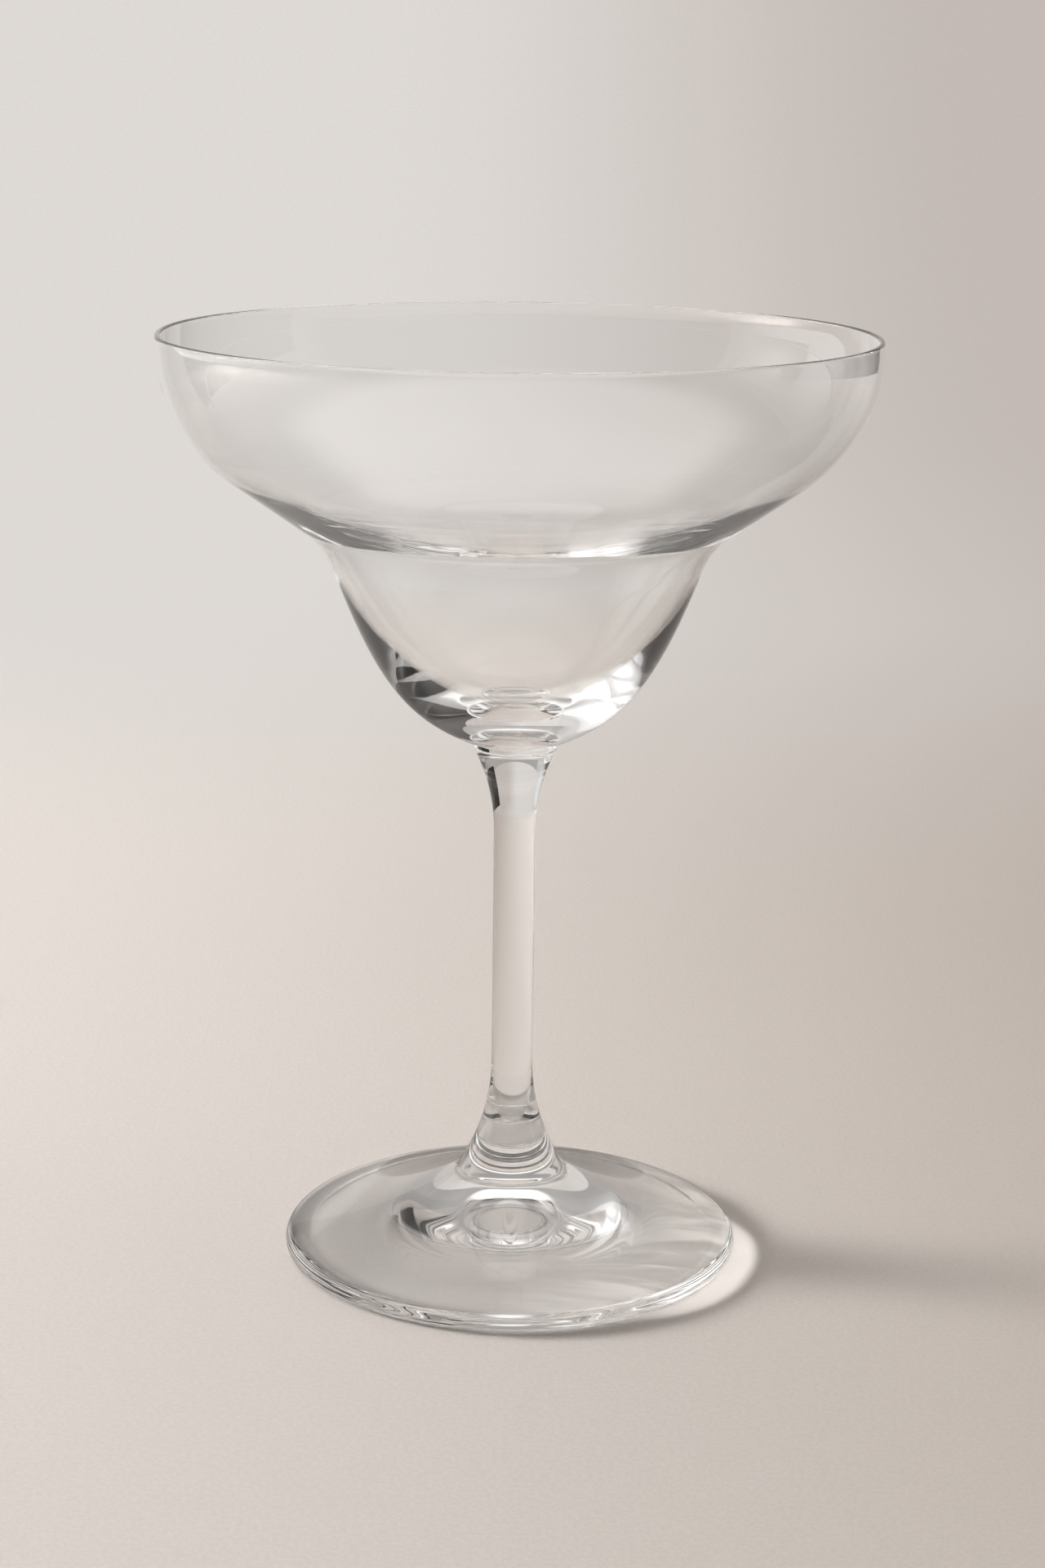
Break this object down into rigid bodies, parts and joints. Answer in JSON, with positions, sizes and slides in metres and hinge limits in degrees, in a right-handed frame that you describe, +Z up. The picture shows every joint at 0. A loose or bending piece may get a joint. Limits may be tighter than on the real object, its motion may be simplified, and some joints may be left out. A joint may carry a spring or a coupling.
{
  "type": "margarita glass",
  "caption": "Stemmed drinking glass whose wide saucer-shaped bowl steps down over a hollow shoulder into a narrow rounded well, on a slim stem and a round foot.",
  "frame": {"origin": "centre of the flat ring under the foot that the glass stands on", "axes": "+Z up along the axis that the bowl, stem and foot are turned about; X and Y lie in the table plane"},
  "size_m": [0.116, 0.116, 0.1555],
  "materials": {
    "clear_glass": "clear colourless fire-polished soda-lime glass"
  },
  "bodies": {
    "root": {"bowl": "clear_glass", "stem": "clear_glass", "foot": "clear_glass"}
  },
  "joints": []
}
